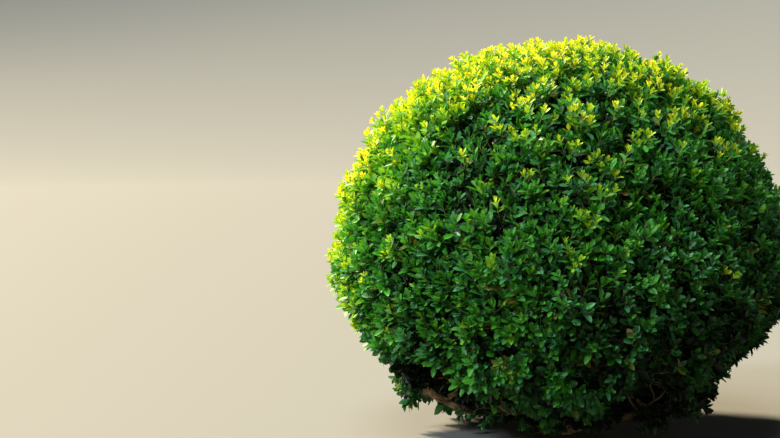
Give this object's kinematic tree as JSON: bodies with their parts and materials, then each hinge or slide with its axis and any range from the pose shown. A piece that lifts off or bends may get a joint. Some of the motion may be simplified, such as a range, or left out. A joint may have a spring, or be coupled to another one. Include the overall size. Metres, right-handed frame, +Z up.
{
  "type": "clipped box ball",
  "caption": "Evergreen shrub clipped to a dense leafy ball, on a short trunk with low spreading boughs, rooted in level ground.",
  "frame": {"origin": "middle of the trunk's flat cut at ground level", "axes": "+Z up the trunk to the top of the crown, -Y towards the viewer of the picture, +X to the viewer's right"},
  "size_m": [0.896, 0.8891, 0.7573],
  "materials": {
    "bark": "rough grey-brown bark with fine cracks",
    "foliage": "small waxy dark green leaves with yellow-green new growth"
  },
  "bodies": {
    "root": {"trunk": "bark", "bough_1": "bark", "bough_2": "bark", "bough_3": "bark", "bough_4": "bark", "bough_5": "bark", "bough_6": "bark", "bough_7": "bark", "bough_8": "bark", "bough_1_fork": "bark", "bough_2_fork": "bark", "bough_3_fork": "bark", "bough_4_fork": "bark", "crown": "foliage"}
  },
  "joints": []
}
